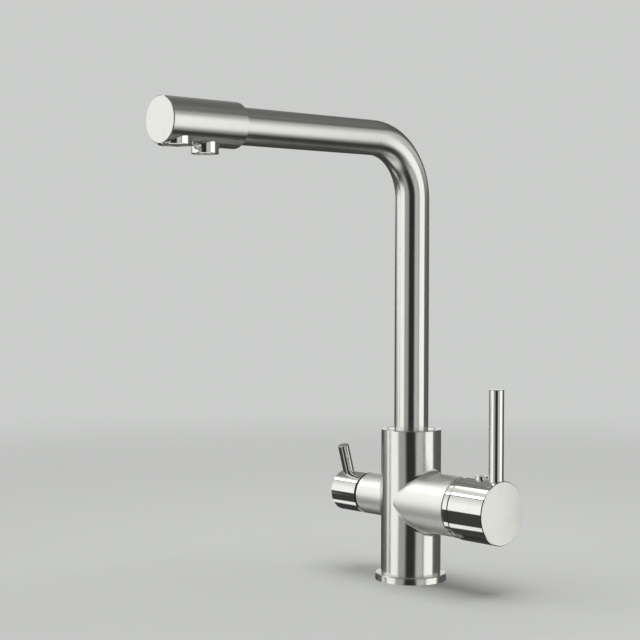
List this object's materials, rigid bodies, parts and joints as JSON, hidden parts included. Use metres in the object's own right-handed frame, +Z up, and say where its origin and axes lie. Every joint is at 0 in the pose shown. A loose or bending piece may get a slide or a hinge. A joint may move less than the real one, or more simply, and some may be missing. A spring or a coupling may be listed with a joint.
{
  "type": "kitchen mixer tap",
  "caption": "Deck-mounted kitchen mixer with a tall swivel spout, a side lever for hot and cold and a small side knob for filtered water.",
  "frame": {"origin": "centre of the base flange's underside, on the deck", "axes": "+Z up along the column, -Y along the spout at rest, +X to the mixer lever, -X to the filter knob"},
  "size_m": [0.1531, 0.242, 0.3847],
  "materials": {
    "satin_nickel": "satin brushed nickel plate",
    "polished_nickel": "polished nickel plate",
    "turned_brass": "turned brass, unplated",
    "zinc_plated_steel": "zinc plated steel",
    "stainless_steel": "turned stainless steel",
    "seal_rubber": "black moulded rubber",
    "ceramic_disc": "lapped alumina ceramic",
    "cartridge_plastic": "natural acetal",
    "insert_plastic": "grey moulded plastic",
    "water_tube_plastic": "translucent white hose plastic, stood in opaque"
  },
  "bodies": {
    "body": {"body_column": "satin_nickel", "base_flange": "satin_nickel", "base_seal": "seal_rubber", "inlet_block": "turned_brass", "inlet_block_seals": "seal_rubber", "gland_ring": "polished_nickel", "upper_glide_washer": "cartridge_plastic", "lower_glide_washer": "cartridge_plastic", "inner_tube_seal": "seal_rubber", "cartridge_foot": "cartridge_plastic", "cartridge_port_seals": "seal_rubber", "cartridge_fixed_disc": "ceramic_disc", "cartridge_housing": "cartridge_plastic", "cartridge_nut": "turned_brass", "trim_ring": "polished_nickel", "dome_cover": "polished_nickel", "filter_valve_body": "turned_brass", "filter_seat_seal": "seal_rubber", "filter_fixed_disc": "ceramic_disc", "mounting_stud": "zinc_plated_steel", "mounting_pad": "seal_rubber", "mounting_clamp": "zinc_plated_steel", "mounting_nut": "turned_brass"},
    "spout": {"spout_tube": "satin_nickel", "spout_foot": "turned_brass", "spout_foot_seals": "seal_rubber", "inner_tube": "water_tube_plastic", "head_shell": "satin_nickel", "head_collar": "satin_nickel", "head_manifold": "insert_plastic", "manifold_seal": "seal_rubber", "aerator_housing": "polished_nickel", "aerator_insert": "insert_plastic", "aerator_seal": "seal_rubber", "filter_nozzle": "polished_nickel", "filter_nozzle_insert": "insert_plastic", "filter_nozzle_seal": "seal_rubber"},
    "carrier": {"cartridge_carrier": "cartridge_plastic", "cartridge_carrier_seal": "seal_rubber", "cartridge_pivot_pin": "stainless_steel"},
    "disc": {"cartridge_moving_disc": "ceramic_disc", "cartridge_disc_coupler": "cartridge_plastic"},
    "handle": {"lever_stem": "stainless_steel", "handle_cup": "polished_nickel", "lever_pin": "polished_nickel", "handle_screw": "polished_nickel"},
    "filter_tap": {"filter_knob": "polished_nickel", "filter_pin": "polished_nickel", "filter_grub_screw": "stainless_steel", "filter_spindle": "turned_brass", "filter_spindle_seal": "seal_rubber", "filter_spindle_clip": "stainless_steel", "filter_moving_disc": "ceramic_disc"}
  },
  "joints": [
    {"name": "spout_swivel", "type": "hinge", "parent": "body", "child": "spout", "pos_m": [0, 0, 0.09], "axis": [0, 0, 1], "continuous": true},
    {"name": "handle_temperature", "type": "hinge", "parent": "body", "child": "carrier", "pos_m": [0, 0, 0.056], "axis": [1, 0, 0], "range_deg": [-45, 45]},
    {"name": "handle_flow", "type": "hinge", "parent": "carrier", "child": "handle", "pos_m": [0.0426, 0, 0.056], "axis": [0, 1, 0], "range_deg": [0, 22]},
    {"name": "disc_slide", "type": "slide", "parent": "carrier", "child": "disc", "axis": [0, 0, 1], "range_m": [0, 0.0034]},
    {"name": "filter_turn", "type": "hinge", "parent": "body", "child": "filter_tap", "pos_m": [0, 0, 0.056], "axis": [1, 0, 0], "range_deg": [-16, 74]}
  ],
  "couplings": [
    {"joint": "disc_slide", "follows": "handle_flow", "m_per_rad": 0.0088}
  ]
}
